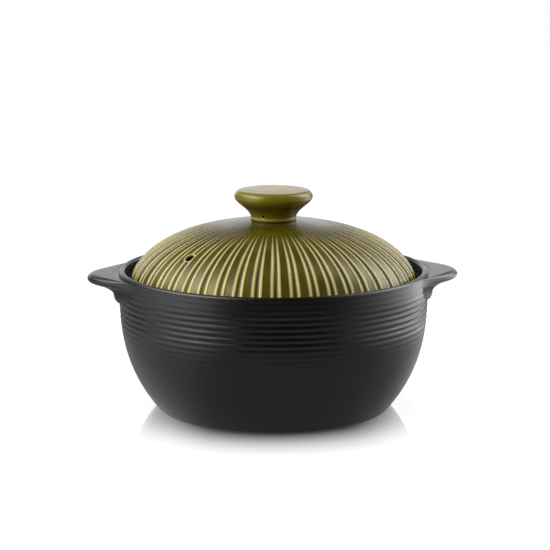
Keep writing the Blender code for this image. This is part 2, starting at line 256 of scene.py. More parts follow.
length = setting(FloatProperty, unit="LENGTH", precision=4)
turn_angle = setting(FloatProperty, subtype="ANGLE")
share = setting(FloatProperty, subtype="FACTOR", min=0.0, max=1.0)
ratio = setting(FloatProperty)
power = setting(FloatProperty, subtype="POWER")
focal_length = setting(FloatProperty, unit="CAMERA")
count = setting(IntProperty, min=1)
color = setting(FloatVectorProperty, size=4, subtype="COLOR", min=0.0, max=1.0)


class BowlSizes(bpy.types.PropertyGroup):
    """Sizes of the turned bowl and its rings."""

    rim_height: length("Rim Height", "Height of the crown of the lip", BOWL_BOX[1][2])
    base_radius: length("Base Radius", "Radius where the bowl stands", 87.4 * MM)
    belly_radius: length("Belly Radius", "Largest radius of the wall", 116.4 * MM)
    belly_drop: length("Belly Drop", "How far the belly lies below the rim", 11.0 * MM)
    wall_swell: ratio("Wall Swell", "Power of the wall's curve from base to belly", 2.8)
    wall_thickness: length("Wall Thickness", "Thickness of the wall", 7.5 * MM)
    floor_thickness: length("Floor Thickness", "Thickness of the floor", 8.5 * MM)
    floor_rounding: length("Floor Rounding", "Size of the curve from floor to wall", 9.0 * MM)
    base_rounding: length("Base Rounding", "Size of the curve under the wall", 1.5 * MM)
    foot_width: length("Foot Width", "Width of the ring that the bowl stands on", 9.0 * MM)
    foot_recess: length("Foot Recess", "How far the base is hollowed", 1.2 * MM)
    lip_width: length("Lip Width", "Thickness of the lip", 4.6 * MM)
    lip_crown: length("Lip Crown", "Height of the lip's rounded top", 2.2 * MM)
    gallery_depth: length("Gallery Depth", "Depth of the seat below the rim", 8.5 * MM)
    gallery_width: length("Gallery Width", "Width of the seat", 7.8 * MM)
    gallery_lip: length("Gallery Lip", "Height of the seat's inner edge", 3.0 * MM)
    gallery_cove: length("Gallery Cove", "Height of the cove under the seat", 9.0 * MM)
    ring_count: count("Ring Count", "Turned rings on the wall", 12)
    ring_pitch: length("Ring Pitch", "Distance from ring to ring", 4.22 * MM)
    ring_depth: length("Ring Depth", "Depth of a ring's groove", 0.75 * MM)
    ring_drop: length("Ring Drop", "How far the first ring lies below the rim", 7.9 * MM)
    ring_fade: share("Ring Fade", "Where the rings weaken, as a share of the way down them", 0.48)
    ring_wander: share("Ring Wander", "How far a ring strays, as a share of the pitch", 0.12)


class LugSizes(bpy.types.PropertyGroup):
    """Sizes of the two lugs."""

    reach: length("Reach", "How far the lug stands out", 23.5 * MM)
    end_depth: length("End Depth", "How far its ends lie under the wall's skin", 0.5 * MM)
    spread: turn_angle("Spread", "Half of the angle that it takes up on the rim", radians(29.5))
    taper: ratio("Taper", "Power that narrows it towards its tip", 1.34)
    drop: length("Drop", "How far its top lies below the rim", 2.2 * MM)
    thickness: length("Thickness", "Thickness in the middle", 7.3 * MM)
    end_thickness: length("End Thickness", "Thickness at the ends", 6.0 * MM)
    tip_rounding: length("Tip Rounding", "Size of the curve round the tip", 5.2 * MM)
    web_fall: length("Web Fall", "How far its underside falls to the wall", 4.3 * MM)
    root_depth: length("Root Depth", "Height of the root below the web", 10.5 * MM)
    root_proud: length("Root Proud", "How far the root stands off the wall", 4.2 * MM)
    knuckle: share("Knuckle", "Where the root stands out most, down its height", 0.43)
    seam_depth: length("Seam Depth", "Depth of the groove beside the lip", 0.5 * MM)
    seam_width: length("Seam Width", "Width of the groove beside the lip", 2.6 * MM)
    embed: length("Embed", "How far the lug is let into the wall", 2.0 * MM)


class LidSizes(bpy.types.PropertyGroup):
    """Sizes of the lid and its flutes."""

    play: length("Play", "Gap between the lid's edge and the lip", 4.9 * MM)
    crown_rise: length("Crown Rise", "Rise of the low cone", 14.6 * MM)
    crown_spread: ratio("Crown Spread", "Power of the low cone", 1.27)
    shoulder_rise: length("Shoulder Rise", "Rise of the rounded shoulder", 31.6 * MM)
    shoulder_spread: ratio("Shoulder Spread", "Power of the shoulder's breadth", 3.9)
    shoulder_rounding: ratio("Shoulder Rounding", "Power of the shoulder's curve", 1.66)
    thickness: length("Thickness", "Thickness of the dome", 6.0 * MM)
    edge_rounding: length("Edge Rounding", "Size of the small curves at its edges", 0.8 * MM)
    seat_gap: length("Seat Gap", "Space between the lid and its seat", 0.3 * MM)
    skirt_depth: length("Skirt Depth", "Depth of the skirt under the seat", 6.0 * MM)
    skirt_width: length("Skirt Width", "Thickness of the skirt", 4.5 * MM)
    skirt_play: length("Skirt Play", "Gap between skirt and gallery", 1.2 * MM)
    flute_count: count("Flute Count", "Grooves round the lid", 48)
    flute_half: share("Flute Half Width", "Half width of a groove, as a share of the pitch", 0.2)
    flute_depth: length("Flute Depth", "Depth of a groove", 0.65 * MM)
    flute_rise: length("Flute Rise", "Height of the ridge on each side of a groove", 0.35 * MM)
    flute_start: length("Flute Start", "Radius where the grooves begin", 32.0 * MM)
    flute_run_in: length("Flute Run-in", "Length over which a groove deepens", 60.0 * MM)
    flute_phase: turn_angle("Flute Phase", "Turn of the first groove from the steam hole", radians(1.1))
    turn: turn_angle("Turn", "Where the steam hole lies, from +X", radians(-139.7))
    hole_diameter: length("Steam Hole", "Diameter of the steam hole", 6.4 * MM)
    hole_radius: length("Steam Hole Radius", "Distance of the steam hole from the axis", 85.3 * MM)


class KnobSizes(bpy.types.PropertyGroup):
    """Sizes of the knob."""

    foot_height: length("Foot Height", "Height of the knob's foot", KNOB_BOX[0][2])
    foot_radius: length("Foot Radius", "Radius of the foot", 16.9 * MM)
    radius: length("Radius", "Largest radius", 29.4 * MM)
    top_radius: length("Top Radius", "Radius of the flat top", 24.6 * MM)
    neck_height: length("Neck Height", "Height of the neck", 17.7 * MM)
    neck_flare: ratio("Neck Flare", "Power of the neck's curve", 1.25)
    cap_height: length("Cap Height", "Height of the rounded edge", 4.8 * MM)
    crown: length("Crown", "Rise of the top over its edge", 0.4 * MM)
    wall: length("Wall", "Thickness of the casting", 4.5 * MM)
    collar: length("Collar", "How far the glazed collar at the foot stands out", 0.2 * MM)
    collar_height: length("Collar Height", "Height of the glazed collar", 2.8 * MM)
    vent_diameter: length("Vent", "Diameter of the vent", 2.2 * MM)
    vent_height: length("Vent Height", "Height of the vent over the foot", 4.2 * MM)
    vent_turn: turn_angle("Vent Turn", "Turn of the vent from the steam hole", radians(18.6))


class FinishColors(bpy.types.PropertyGroup):
    """Colours of the fired surfaces."""

    stoneware: color("Stoneware", "Bare charcoal stoneware", (0.0078, 0.0076, 0.0067, 1.0))
    bare_clay: color("Bare Clay", "Clay where nothing covers it", (0.34, 0.31, 0.26, 1.0))
    olive: color("Olive Glaze", "Glaze at its usual thickness", (0.102, 0.082, 0.0035, 1.0))
    pool: color("Pooled Glaze", "Glaze where it lies thick", (0.050, 0.032, 0.0006, 1.0))
    thin: color("Thin Glaze", "Glaze where it breaks over an edge", (0.84, 0.73, 0.28, 1.0))


class StageSettings(bpy.types.PropertyGroup):
    """Camera, floor and lamps."""

    azimuth: turn_angle("Azimuth", "Turn of the camera about the pot", radians(-4.5))
    elevation: turn_angle("Elevation", "Height angle of the camera over the base", radians(14.88))
    distance: length("Distance", "From the camera to the middle of the base", 1.4)
    pitch: turn_angle("Pitch", "How far the camera looks down", radians(10.874))
    yaw: turn_angle("Yaw", "How far the camera looks past the axis", radians(0.047))
    lens: focal_length("Lens", "Focal length in millimetres", 119.4)
    fill: ratio("Fill", "Strength of the even light from all round", 0.34)
    left_power: power("Left Lamp", "Power in watts", 9.5)
    right_power: power("Right Lamp", "Power in watts", 4.5)
    shine: share("Floor Shine", "Share of the floor's reflection beside the foot", 0.97)


# Nodes


class Graph:
    """Short ways to add and join the nodes of one tree."""

    def __init__(self, tree):
        self.tree = tree

    def feed(self, socket, value):
        """Link a socket to a node's output, or set its value."""
        if isinstance(value, bpy.types.NodeSocket):
            self.tree.links.new(value, socket)
        else:
            socket.default_value = value

    def add(self, kind, inputs=None, **settings):
        """Node with its settings and inputs set."""
        node = self.tree.nodes.new(kind)
        node.location = (NODE_COLUMN * len(self.tree.nodes), 0.0)
        for name, value in settings.items():
            setattr(node, name, value)
        for key, value in (inputs or {}).items():
            self.feed(node.inputs[key], value)
        return node

    def math(self, operation, *values):
        """Result of a sum on numbers."""
        return self.add("ShaderNodeMath", dict(enumerate(values)), operation=operation).outputs[0]

    def product(self, first, *others):
        """All values multiplied."""
        for other in others:
            first = self.math("MULTIPLY", first, other)
        return first

    def total(self, first, *others):
        """All values added."""
        for other in others:
            first = self.math("ADD", first, other)
        return first

    def vector(self, operation, *values):
        """Result of a sum on vectors."""
        node = self.add("ShaderNodeVectorMath", dict(enumerate(values)), operation=operation)
        return node.outputs["Value" if operation in ("LENGTH", "DOT_PRODUCT") else "Vector"]

    def scaled(self, vector, factor):
        """Vector times a number."""
        node = self.add("ShaderNodeVectorMath", {0: vector, "Scale": factor}, operation="SCALE")
        return node.outputs[0]

    def ramp(self, value, start, end, low=0.0, high=1.0):
        """Number that eases from low to high while value goes from start to end."""
        node = self.add(
            "ShaderNodeMapRange",
            {0: value, 1: start, 2: end, 3: low, 4: high},
            interpolation_type="SMOOTHSTEP",
        )
        return node.outputs[0]

    def eased(self, value, strength, *spans):
        """Strength times what each span makes of the value."""
        return self.product(strength, *(self.ramp(value, *span) for span in spans))

    def mix(self, factor, first, second):
        """Colour between two colours."""
        node = self.add("ShaderNodeMix", {0: factor, 6: first, 7: second}, data_type="RGBA")
        return node.outputs[2]

    def noise(self, vector, scale, detail=2.0, roughness=0.5, turn=0.0):
        """Soft noise from 0 to 1, told apart by its turn."""
        node = self.add(
            "ShaderNodeTexNoise",
            {"Vector": vector, "W": turn, "Scale": scale, "Detail": detail, "Roughness": roughness},
            noise_dimensions="4D",
        )
        return node.outputs[0]

    def mask(self, name):
        """Number that a piece's mesh carries under a name."""
        return self.add("ShaderNodeAttribute", attribute_name=name).outputs["Fac"]


def new_tree(kind, name, inputs, outputs):
    """Node group with named sockets, and its graph, input sockets and output node."""
    tree = bpy.data.node_groups.new(name, kind)
    for way, sockets in (("INPUT", inputs), ("OUTPUT", outputs)):
        for label, holds in sockets.items():
            tree.interface.new_socket(name=label, in_out=way, socket_type="NodeSocket" + holds)
    graph = Graph(tree)
    given = graph.add("NodeGroupInput").outputs
    return tree, graph, given, graph.add("NodeGroupOutput")


def new_shape_tree(name, sizes):
    """Geometry Nodes tree that takes a mesh, whole numbers or sizes, a seed and a material."""
    inputs = {"Geometry": "Geometry", **sizes, "Seed": "Int", "Material": "Material"}
    return new_tree("GeometryNodeTree", name, inputs, {"Geometry": "Geometry"})


def run_tree(piece, tree, values):
    """Give a piece a Geometry Nodes modifier with its inputs set by their sockets."""
    modifier = piece.modifiers.new(tree.name, "NODES")
    modifier.node_group = tree
    for item in tree.interface.items_tree:
        if item.in_out == "INPUT" and item.name in values:
            modifier[item.identifier] = values[item.name]


def finish_tree(graph, sink, geometry, material):
    """End a Geometry Nodes tree: real mesh, one material."""
    real = graph.add("GeometryNodeRealizeInstances", {0: geometry}).outputs[0]
    painted = graph.add("GeometryNodeSetMaterial", {"Geometry": real, "Material": material})
    graph.feed(sink.inputs[0], painted.outputs[0])


def shifted(graph, geometry, offset):
    """Mesh with its points moved by an offset."""
    return graph.add("GeometryNodeSetPosition", {"Geometry": geometry, "Offset": offset}).outputs[0]


def stored(graph, geometry, values):
    """Mesh that carries numbers on its points under their names."""
    for name, value in values.items():
        node = graph.add(
            "GeometryNodeStoreNamedAttribute",
            {"Geometry": geometry, "Name": name, "Value": value},
            data_type="FLOAT",
            domain="POINT",
        )
        geometry = node.outputs[0]
    return geometry


def on_skin(graph):
    """Mask of the outer skin, which alone is cut."""
    node = graph.add("GeometryNodeInputNamedAttribute", {"Name": "outer_skin"}, data_type="FLOAT")
    return node.outputs[0]


def about_axis(graph):
    """Position of a point, the way out to it from the pot's axis, and its coordinates."""
    position = graph.add("GeometryNodeInputPosition").outputs[0]
    x, y, z = graph.add("ShaderNodeSeparateXYZ", {0: position}).outputs
    flat = graph.add("ShaderNodeCombineXYZ", {0: x, 1: y}).outputs[0]
    return position, flat, (x, y, z)


def ring_tree():
    """Turned rings: grooves at an even pitch down a wall, each a little uneven."""
    sizes = dict.fromkeys(("Top", "Pitch", "Depth", "Fade", "Wander"), "Float")
    tree, graph, given, sink = new_shape_tree("turned_rings", {"Count": "Int", **sizes})
    position, flat, (_, _, z) = about_axis(graph)
    stretched = graph.vector("MULTIPLY", position, RING_STRAY_SCALE)
    stray = graph.math("SUBTRACT", graph.noise(stretched, 1.0, turn=given["Seed"]), 0.5)
    down = graph.math("DIVIDE", graph.math("SUBTRACT", given["Top"], z), given["Pitch"])
    phase = graph.math("MULTIPLY_ADD", stray, graph.product(given["Wander"], 2.0), down)
    index = graph.math("ROUND", phase)
    off = graph.math("ABSOLUTE", graph.math("SUBTRACT", phase, index))
    groove = graph.ramp(off, 0.5, 0.0)
    first = graph.ramp(index, *RING_TOP_SPAN)
    last = graph.math("LESS_THAN", index, graph.math("SUBTRACT", given["Count"], 0.5))
    chance = graph.add(
        "ShaderNodeTexWhiteNoise", {"Vector": (0.0, 0.0, 0.0), "W": index}, noise_dimensions="4D"
    )
    uneven = graph.ramp(chance.outputs[0], *RING_CHANCE_SPAN)
    patches = graph.vector("MULTIPLY", position, RING_PATCH_SCALE)
    patchy = graph.ramp(graph.noise(patches, 1.0, turn=RING_PATCH_SEED), *RING_PATCH_SPAN)
    part = graph.math("DIVIDE", index, given["Count"])
    faded = graph.math("ADD", given["Fade"], RING_FADE_LENGTH)
    fading = graph.ramp(part, given["Fade"], faded, 1.0, RING_FADE_LEFT)
    cut = graph.product(groove, first, last, uneven, patchy, fading, on_skin(graph))
    depth = graph.product(cut, given["Depth"], -1.0)
    offset = graph.scaled(graph.vector("NORMALIZE", flat), depth)
    marked = stored(graph, shifted(graph, given["Geometry"], offset), {"ring_groove": cut})
    finish_tree(graph, sink, marked, given["Material"])
    return tree


def flute_tree():
    """Flutes: radial grooves between two ridges, with masks for the glaze on them."""
    sizes = dict.fromkeys(("Turn", "Half Width", "Depth", "Rise", "Start", "Run-in"), "Float")
    tree, graph, given, sink = new_shape_tree("flutes", {"Count": "Int", **sizes})
    position, flat, (x, y, _) = about_axis(graph)
    angle = graph.math("SUBTRACT", graph.math("ARCTAN2", y, x), given["Turn"])
    wander = graph.noise(position, FLUTE_STRAY_SCALE, detail=1.0, turn=given["Seed"])
    stray = graph.math("SUBTRACT", wander, 0.5)
    turns = graph.product(graph.math("DIVIDE", angle, 2 * pi), given["Count"])
    phase = graph.math("MULTIPLY_ADD", stray, FLUTE_STRAY, turns)
    off = graph.math("ABSOLUTE", graph.math("SUBTRACT", phase, graph.math("ROUND", phase)))
    skin = on_skin(graph)
    beyond = graph.math("SUBTRACT", graph.vector("LENGTH", flat), given["Start"])
    run = graph.product(graph.ramp(beyond, 0.0, given["Run-in"]), skin)
    half = given["Half Width"]
    groove = graph.ramp(off, half, 0.0)
    beside = graph.math("ABSOLUTE", graph.math("SUBTRACT", off, half))
    ridge = graph.ramp(beside, graph.product(half, RIDGE_SHARE), 0.0)
    fall = graph.product(groove, given["Depth"], -1.0)
    lift = graph.product(graph.math("MULTIPLY_ADD", ridge, given["Rise"], fall), run)
    normal = graph.add("GeometryNodeInputNormal").outputs[0]
    moved = shifted(graph, given["Geometry"], graph.scaled(normal, lift))
    dark = graph.product(groove, graph.ramp(beyond, *GROOVE_POOL_SPAN), skin)
    # Pooled glaze round the knob's foot, partly painted shade from the knob.
    crown = graph.product(graph.ramp(beyond, *CROWN_POOL_AND_SHADE_SPAN), skin)
    masks = {
        "glaze_thin": graph.product(ridge, graph.ramp(beyond, *RIDGE_THIN_SPAN), skin),
        "flute_groove": dark,
        "glaze_pool": graph.math("MAXIMUM", crown, dark),
    }
    finish_tree(graph, sink, stored(graph, moved, masks), given["Material"])
    return tree


def grain_group():
    """Mottle, fine grain and their bumps, for any fired surface."""
    name = "fired_grain"
    if name in bpy.data.node_groups:
        return bpy.data.node_groups[name]
    inputs = dict.fromkeys(("Mottle Scale", "Grain Scale", "Stretch", "Bump"), "Float")
    outputs = {"Mottle": "Float", "Grain": "Float", "Normal": "Vector"}
    tree, graph, given, sink = new_tree("ShaderNodeTree", name, inputs, outputs)
    place = graph.add("ShaderNodeTexCoord").outputs["Object"]
    squeezed = graph.add("ShaderNodeCombineXYZ", {0: 1.0, 1: 1.0, 2: given["Stretch"]}).outputs[0]
    along = graph.vector("MULTIPLY", place, squeezed)
    mottle = graph.noise(along, given["Mottle Scale"], detail=4.0, roughness=0.6)
    grain = graph.noise(along, given["Grain Scale"], detail=2.0, roughness=0.7, turn=GRAIN_SEED)
    height = graph.math("MULTIPLY_ADD", grain, GRAIN_IN_BUMP, mottle)
    bump = graph.add(
        "ShaderNodeBump", {"Strength": given["Bump"], "Distance": BUMP_HEIGHT, "Height": height}
    )
    for label, value in (("Mottle", mottle), ("Grain", grain), ("Normal", bump.outputs[0])):
        graph.feed(sink.inputs[label], value)
    return tree


def tone_group():
    """Brightness of the studio in a direction: softboxes on both sides, white low behind."""
    name = "studio_tone"
    if name in bpy.data.node_groups:
        return bpy.data.node_groups[name]
    outputs = {"Tone": "Float", "Low": "Float"}
    tree, graph, given, sink = new_tree("ShaderNodeTree", name, {"Direction": "Vector"}, outputs)
    way = graph.vector("NORMALIZE", given["Direction"])
    plan = graph.vector("NORMALIZE", graph.vector("MULTIPLY", way, (1.0, 1.0, 0.0)))
    x, y, _ = graph.add("ShaderNodeSeparateXYZ", {0: plan}).outputs
    height = graph.add("ShaderNodeSeparateXYZ", {0: way}).outputs[2]
    on_left = graph.ramp(x, *LEFT_SPAN)
    on_right = graph.math("SUBTRACT", 1.0, on_left)
    left = graph.product(graph.eased(y, *LEFT_WALL), on_left)
    right = graph.product(graph.eased(y, *RIGHT_WALL), on_right)
    low = graph.total(left, right, DARKEST)
    glow = graph.eased(height, graph.eased(y, *BACK_GLOW), BACK_GLOW_TOP)
    white = graph.eased(height, graph.eased(y, *WHITE_STRIP), *WHITE_STRIP_HEIGHT)
    left_box = graph.product(graph.eased(y, *LEFT_BOX), on_left)
    right_box = graph.product(graph.eased(y, *RIGHT_BOX), on_right)
    left_box = graph.eased(height, left_box, LEFT_BOX_FOOT)
    right_box = graph.eased(height, right_box, RIGHT_BOX_FOOT)
    boxes = graph.eased(height, graph.total(left_box, right_box), BOX_TOP)
    behind = graph.math("MAXIMUM", glow, white)
    tone = graph.total(graph.eased(height, low, WALL_TOP), boxes, behind)
    graph.feed(sink.inputs["Tone"], tone)
    graph.feed(sink.inputs["Low"], low)
    return tree


# Materials


def new_material(name):
    """Node material, its graph and its shader."""
    material = bpy.data.materials.new(name)
    material.use_nodes = True
    return material, Graph(material.node_tree), material.node_tree.nodes["Principled BSDF"]


def add_grain(graph, mottle_scale, grain_scale, stretch, bump):
    """The grain group with values for one finish."""
    labels = ("Mottle Scale", "Grain Scale", "Stretch", "Bump")
    values = dict(zip(labels, (mottle_scale, grain_scale, stretch, bump)))
    return graph.add("ShaderNodeGroup", values, node_tree=grain_group()).outputs


def feed_shader(graph, shader, body, roughness, normal):
    """Colour, roughness and normal of one finish."""
    for label, value in (("Base Color", body), ("Roughness", roughness), ("Normal", normal)):
        graph.feed(shader.inputs[label], value)


def shade(value, factor):
    """Colour times a factor."""
    return (value[0] * factor, value[1] * factor, value[2] * factor, 1.0)


def mottled(graph, factor, value, darkest, lightest):
    """Colour that changes between two shades of itself."""
    return graph.mix(factor, shade(value, darkest), shade(value, lightest))


def stoneware_material(colors):
    """Matt charcoal stoneware with turning streaks, painted shade in its ring grooves, on its gallery
    and under its lugs, and pale where the foot is bare.
    """
    name = "charcoal_stoneware_fine"
    if name in bpy.data.materials:
        return bpy.data.materials[name]
    material, graph, shader = new_material(name)
    grain = add_grain(graph, mottle_scale=22.0, grain_scale=700.0, stretch=9.0, bump=0.25)
    body = mottled(graph, grain["Mottle"], colors.stoneware, *STONEWARE_SHADES)
    speck = graph.product(graph.ramp(grain["Grain"], *STONEWARE_SPECK_SPAN), STONEWARE_SPECK_SHARE)
    body = graph.mix(speck, body, shade(colors.stoneware, STONEWARE_SPECK_SHADE))
    # Painted shade: the ring grooves and the hollow mask darken the colour towards a shadow shade.
    hollow = graph.mask("hollow")
    dark = graph.math("MAXIMUM", graph.product(graph.mask("ring_groove"), RING_SHADOW), hollow)
    body = graph.mix(dark, body, shade(colors.stoneware, STONEWARE_SHADOW_SHADE))
    body = graph.mix(graph.mask("bare_clay"), body, colors.bare_clay)
    matt = graph.ramp(grain["Mottle"], *STONEWARE_ROUGHNESS_SPAN)
    matt = graph.math("MULTIPLY_ADD", hollow, HOLLOW_ROUGHNESS, matt)
    liner = graph.product(graph.mask("liner"), LINER_ROUGHNESS)
    feed_shader(graph, shader, body, graph.total(matt, liner), grain["Normal"])
    return material


def glaze_material(colors):
    """Glossy olive glaze: dark where it pools and where shade is painted, cream where it breaks over
    edges, and lighter on the knob as painted light.
    """
    name = "olive_glaze_fine"
    if name in bpy.data.materials:
        return bpy.data.materials[name]
    material, graph, shader = new_material(name)
    grain = add_grain(graph, mottle_scale=70.0, grain_scale=1500.0, stretch=1.0, bump=0.05)
    cloud = graph.ramp(grain["Mottle"], *GLAZE_MOTTLE_SPAN)
    body = mottled(graph, cloud, colors.olive, *GLAZE_SHADES)
    # Painted light: the whole knob is lightened.
    body = graph.mix(graph.mask("knob_painted_light"), body, shade(colors.olive, KNOB_PAINTED_LIGHT_SHADE))
    speck = graph.product(graph.ramp(grain["Grain"], *GLAZE_SPECK_SPAN), GLAZE_SPECK_SHARE)
    body = graph.mix(speck, body, colors.pool)
    # Pooled glaze, which also paints shade round the knob's foot, under its cap and inside the holes.
    body = graph.mix(graph.mask("glaze_pool"), body, colors.pool)
    wear = graph.math("MULTIPLY_ADD", grain["Mottle"], WEAR_MOTTLE, WEAR_LEAST)
    worn = graph.product(wear, graph.mask("glaze_thin"))
    # Cream where the glaze breaks, with a little painted sheen on the knob's top.
    body = graph.mix(graph.ramp(worn, *THIN_SPAN), body, colors.thin)
    # Painted shadow where the knob meets the lid.
    body = graph.mix(graph.mask("hollow"), body, shade(colors.pool, GLAZE_SHADOW_SHADE))
    body = graph.mix(graph.mask("bare_clay"), body, colors.bare_clay)
    gloss = graph.ramp(grain["Mottle"], *GLAZE_ROUGHNESS_SPAN)
    gloss = graph.math("MULTIPLY_ADD", graph.mask("flute_groove"), GROOVE_ROUGHNESS, gloss)
    bare = graph.product(graph.mask("bare_clay"), BARE_ROUGHNESS)
    feed_shader(graph, shader, body, graph.total(gloss, bare), grain["Normal"])
    shader.inputs["Specular Tint"].default_value = GLAZE_SHINE
    return material


# Shapes


def blend(start, end, part):
    """Value that lies the given part of the way from start to end."""
    return start + (end - start) * part


def within(value, middle, reach):
    """Share from 1 at the middle down to 0 where the value is its reach away."""
    return max(0.0, 1.0 - abs(value - middle) / reach)


def bend(start, corner, end, steps):
    """Points between start and end on a curve that turns inside a corner."""
    points = []
    for i in range(1, steps):
        part = i / steps
        leg = [blend(a, b, part) for a, b in zip(start, corner)]
        other = [blend(a, b, part) for a, b in zip(corner, end)]
        points.append(tuple(blend(a, b, part) for a, b in zip(leg, other)))
    return points


def arc(center, width, height, start, end, steps):
    """Points along an ellipse in the (radius, height) plane, angles in degrees."""
    angles = [radians(blend(start, end, i / steps)) for i in range(steps + 1)]
    return [(center[0] + width * cos(a), center[1] + height * sin(a)) for a in angles]


def softened(corners):
    """Outline through (radius, height, rounding) corners, each eased by its rounding."""
    points = []
    for i, (radius, height, rounding) in enumerate(corners):
        here = Vector((radius, height))
        if not rounding:
            points.append((radius, height))
            continue
        ends = []
        for other in (corners[i - 1], corners[i + 1]):
            ends.append(here + (Vector(other[:2]) - here).normalized() * rounding)
        points.append(tuple(ends[0]))
        points += bend(ends[0], here, ends[1], CORNER_STEPS)
        points.append(tuple(ends[1]))
    return points


def mesh_data(name, mesh, masks):
    """Smooth mesh with its faces turned outward, and a number on each point for each mask."""
    bmesh.ops.recalc_face_normals(mesh, faces=mesh.faces)
    data = bpy.data.meshes.new(name)
    mesh.to_mesh(data)
    mesh.free()
    for label, values in masks.items():
        data.attributes.new(label, "FLOAT", "POINT").data.foreach_set("value", values)
    data.shade_smooth()
    return data


def turned_mesh(name, rows, steps, masks):
    """Closed surface turned from (radius, height) rows, with masks row by row."""
    mesh = bmesh.new()
    rings = []
    for radius, height in rows:
        turns = steps if radius > 0.0 else 1
        angles = [2 * pi * k / turns for k in range(turns)]
        rings.append([mesh.verts.new((radius * cos(a), radius * sin(a), height)) for a in angles])
    for first, second in zip(rings, rings[1:]):
        for k in range(steps):
            a, b = first[k % len(first)], first[(k + 1) % len(first)]
            c, d = second[(k + 1) % len(second)], second[k % len(second)]
            corners = [v for i, v in enumerate((a, b, c, d)) if v not in (a, b, c, d)[:i]]
            mesh.faces.new(corners)
    spread = {}
    for label, values in masks.items():
        spread[label] = [value for value, ring in zip(values, rings) for _ in ring]
    return mesh_data(name, mesh, spread)


def new_piece(name, data, material=None):
    """Object of a finished mesh, at the origin."""
    piece = bpy.data.objects.new(name, data)
    bpy.context.scene.collection.objects.link(piece)
    if material:
        data.materials.append(material)
    return piece


def settle(piece):
    """Make what the modifiers give into the piece's own plain mesh."""
    depsgraph = bpy.context.evaluated_depsgraph_get()
    shown = piece.evaluated_get(depsgraph)
    made = bpy.data.meshes.new_from_object(shown, preserve_all_data_layers=True, depsgraph=depsgraph)
    old = piece.data
    piece.modifiers.clear()
    piece.data = made
    bpy.data.meshes.remove(old)


def bore(piece, name, radius, center, outward, inner, outer):
    """Cut a round hole with a softened mouth, from inner to outer along a direction."""
    flare = radius * MOUTH_FLARE
    mouth = (radius + flare, MOUTH_RISE * flare)
    rows = [(0.0, -inner), (radius, -inner), (radius, -MOUTH_DEPTH * flare)]
    rows += bend(rows[-1], (radius, 0.0), mouth, CORNER_STEPS)
    rows += [mouth, (radius + MOUTH_SPREAD * flare, outer), (0.0, outer)]
    data = turned_mesh(name, rows, HOLE_TURNS, {})
    turned = Vector(outward).to_track_quat("Z", "Y").to_matrix().to_4x4()
    data.transform(Matrix.Translation(center) @ turned)
    cutter = new_piece(name, data)
    cut = piece.modifiers.new(name, "BOOLEAN")
    cut.operation = "DIFFERENCE"
    cut.object = cutter
    settle(piece)
    bpy.data.objects.remove(cutter, do_unlink=True)
    glaze_bore(piece.data, radius, center, outward, inner, outer)


def glaze_bore(data, radius, center, outward, inner, outer):
    """Thin glaze on a hole's mouth, and the pooled glaze colour painted inside it as shade."""
    thin = data.attributes["glaze_thin"].data
    pool = data.attributes["glaze_pool"].data
    way = Vector(outward).normalized()
    for vertex in data.vertices:
        off = vertex.co - Vector(center)
        depth = off.dot(way)
        away = (off - way * depth).length
        if away < radius * (1.0 + MOUTH_FLARE) and -inner < depth < outer:
            rim = away > MOUTH_START * radius
            thin[vertex.index].value = MOUTH_THIN if rim else 0.0
            # Painted shade inside the hole.
            pool[vertex.index].value = 0.0 if rim else 1.0


def place(piece, body, node, slot):
    """Put a finished piece on its body in place of its CAD node."""
    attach(piece, body)
    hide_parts(node)


def swell(sizes, outer, foot, part):
    """Radius of the bowl at a part of the way down from its belly."""
    return outer - (outer - foot) * part**sizes.wall_swell


def skin_radius(sizes, height):
    """Outer radius of the bowl at a height."""
    belly = sizes.rim_height - sizes.belly_drop
    below = max(0.0, belly - height) / belly
    return swell(sizes, sizes.belly_radius, sizes.base_radius, below)


def liner_radius(sizes, height):
    """Inner radius of the bowl at a height below the gallery."""
    belly = sizes.rim_height - sizes.belly_drop
    below = max(0.0, belly - height) / (belly - sizes.floor_thickness)
    thick = sizes.wall_thickness
    return swell(sizes, sizes.belly_radius - thick, sizes.base_radius - thick, below)


def rows_along(radius_at, sizes, start, end, steps):
    """Rows at even heights after start as far as end, on a curve of the bowl."""
    heights = [blend(start, end, i / steps) for i in range(1, steps + 1)]
    return [(radius_at(sizes, height), height) for height in heights]


def bowl_inside(sizes, cove):
    """Rows from the middle of the bowl's floor up to the cove under its gallery."""
    floor = sizes.floor_thickness
    lift = floor + sizes.floor_rounding
    corner = (liner_radius(sizes, floor), floor)
    edge = (corner[0] - sizes.floor_rounding, floor)
    foot = (liner_radius(sizes, lift), lift)
    rows = [(0.0, floor), (FLOOR_ROW_SHARE * edge[0], floor), edge]
    rows += bend(edge, corner, foot, FLOOR_CURVE_STEPS) + [foot]
    return rows + rows_along(liner_radius, sizes, lift, cove, LINER_ROWS)


